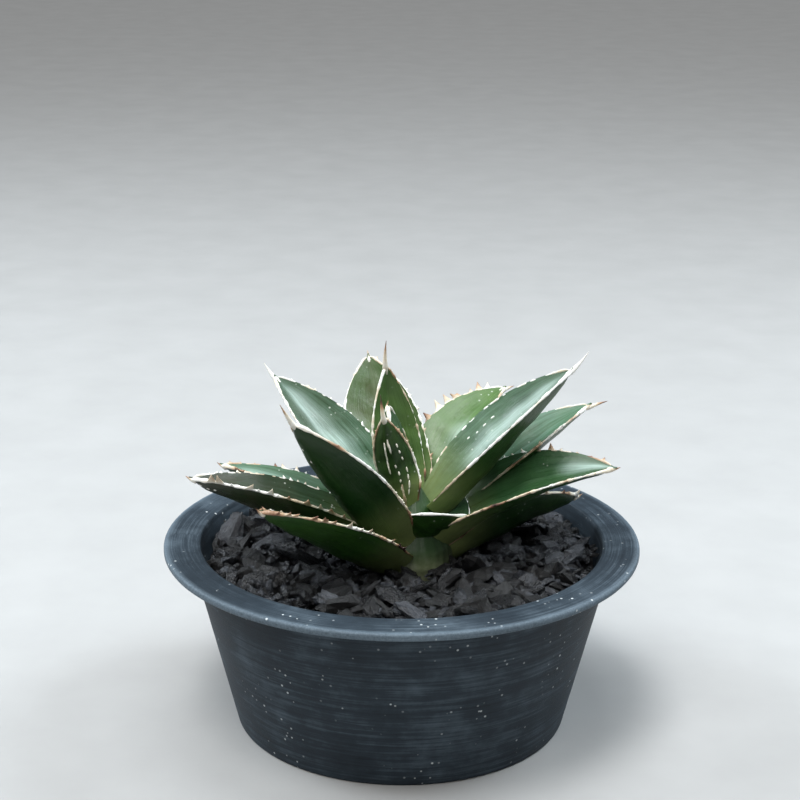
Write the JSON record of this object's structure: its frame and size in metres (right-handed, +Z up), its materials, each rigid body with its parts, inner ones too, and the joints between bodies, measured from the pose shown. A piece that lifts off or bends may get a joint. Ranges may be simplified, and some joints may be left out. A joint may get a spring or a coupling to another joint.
{
  "type": "potted agave",
  "caption": "Compact agave rosette of thick guttered leaves with pale toothed margins and spined tips, in a wide shallow pot topped with charcoal chips.",
  "frame": {"origin": "middle of the pot's foot, on the surface the pot stands on", "axes": "+Z up out of the pot; +X to the right and +Y away from the side the plant is seen from"},
  "size_m": [0.151, 0.151, 0.1237],
  "materials": {
    "pot": "satin",
    "drainage": "matte",
    "potting_mix": "matte",
    "charcoal": "matte",
    "stem": "satin",
    "leaf": "satin",
    "young_leaf": "satin"
  },
  "bodies": {
    "root": {"pot": "pot", "drainage_layer": "drainage", "potting_mix": "potting_mix", "chip_bed": "charcoal", "stem": "stem", "leaf_bud": "young_leaf", "leaf_bud_sheath": "young_leaf", "leaf_centre": "young_leaf", "leaf_centre_back": "young_leaf", "leaf_back_right": "young_leaf", "leaf_upper_right": "leaf", "leaf_upper_left": "leaf", "leaf_front_left": "leaf", "leaf_right_behind": "leaf", "leaf_front": "leaf", "leaf_back": "leaf", "leaf_low_right": "leaf", "leaf_low_left": "leaf", "leaf_low_left_behind": "leaf", "leaf_low_back_left": "leaf", "leaf_low_back_right": "leaf", "leaf_low_front_left": "leaf", "leaf_low_front_right": "leaf", "chip_01": "charcoal", "chip_02": "charcoal", "chip_03": "charcoal", "chip_04": "charcoal", "chip_05": "charcoal", "chip_06": "charcoal", "chip_07": "charcoal", "chip_08": "charcoal", "chip_09": "charcoal", "chip_10": "charcoal", "chip_11": "charcoal", "chip_12": "charcoal", "chip_13": "charcoal", "chip_14": "charcoal", "chip_15": "charcoal", "chip_16": "charcoal", "chip_17": "charcoal", "chip_18": "charcoal", "chip_19": "charcoal", "chip_20": "charcoal", "chip_21": "charcoal", "chip_22": "charcoal", "chip_23": "charcoal", "chip_24": "charcoal", "chip_25": "charcoal"}
  },
  "joints": []
}
